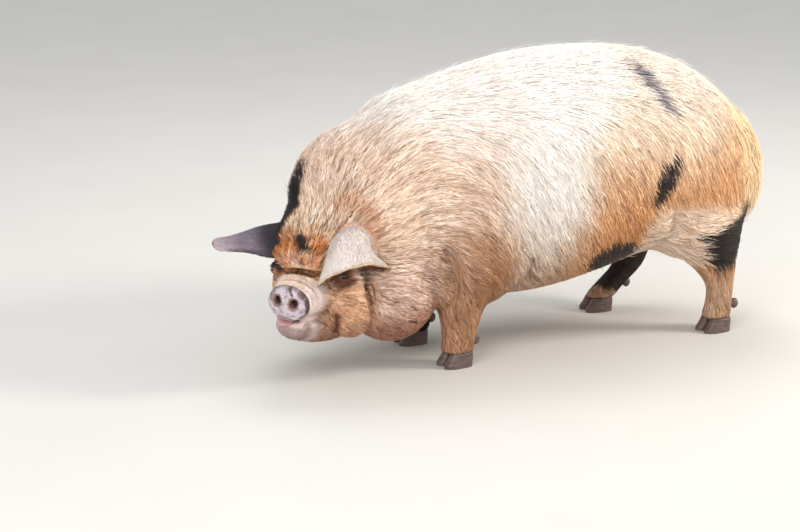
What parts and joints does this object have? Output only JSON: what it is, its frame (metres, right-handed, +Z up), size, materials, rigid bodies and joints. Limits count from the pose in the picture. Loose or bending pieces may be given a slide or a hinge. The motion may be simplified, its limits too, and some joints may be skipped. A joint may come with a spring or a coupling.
{
  "type": "kunekune pig",
  "caption": "Life-size kunekune pig standing with its head low and turned to its left, as a still model with a coarse lying coat.",
  "frame": {"origin": "centre of the bounding box at floor level", "axes": "+Z up, -Y towards the head, +X towards the pig's left side"},
  "size_m": [0.5228, 1.31, 0.6536],
  "materials": {
    "coat": "matt coarse hair, tan to cream",
    "skin_snout": "bare lilac-grey skin",
    "ear_pale": "thin pale skin with short hair",
    "ear_dark": "thin black skin with short hair",
    "mouth": "moist pink skin",
    "eye": "moist dark brown",
    "horn": "dull dark horn"
  },
  "bodies": {
    "root": {"ear_left": "ear_pale", "ear_right": "ear_dark", "eye_left": "eye", "eye_right": "eye", "foot_fore_left_claw_left": "horn", "foot_fore_left_claw_right": "horn", "foot_fore_left_dewclaw_left": "horn", "foot_fore_left_dewclaw_right": "horn", "foot_fore_right_claw_left": "horn", "foot_fore_right_claw_right": "horn", "foot_fore_right_dewclaw_left": "horn", "foot_fore_right_dewclaw_right": "horn", "foot_hind_left_claw_left": "horn", "foot_hind_left_claw_right": "horn", "foot_hind_left_dewclaw_left": "horn", "foot_hind_left_dewclaw_right": "horn", "foot_hind_right_claw_left": "horn", "foot_hind_right_claw_right": "horn", "foot_hind_right_dewclaw_left": "horn", "foot_hind_right_dewclaw_right": "horn", "head": "coat", "jaw": "coat", "leg_fore_left": "coat", "leg_fore_right": "coat", "leg_hind_left": "coat", "leg_hind_right": "coat", "neck": "coat", "shank_fore_left": "coat", "shank_fore_right": "coat", "shank_hind_left": "coat", "shank_hind_right": "coat", "snout": "skin_snout", "tail": "coat", "tongue": "mouth", "torso": "coat"}
  },
  "joints": []
}
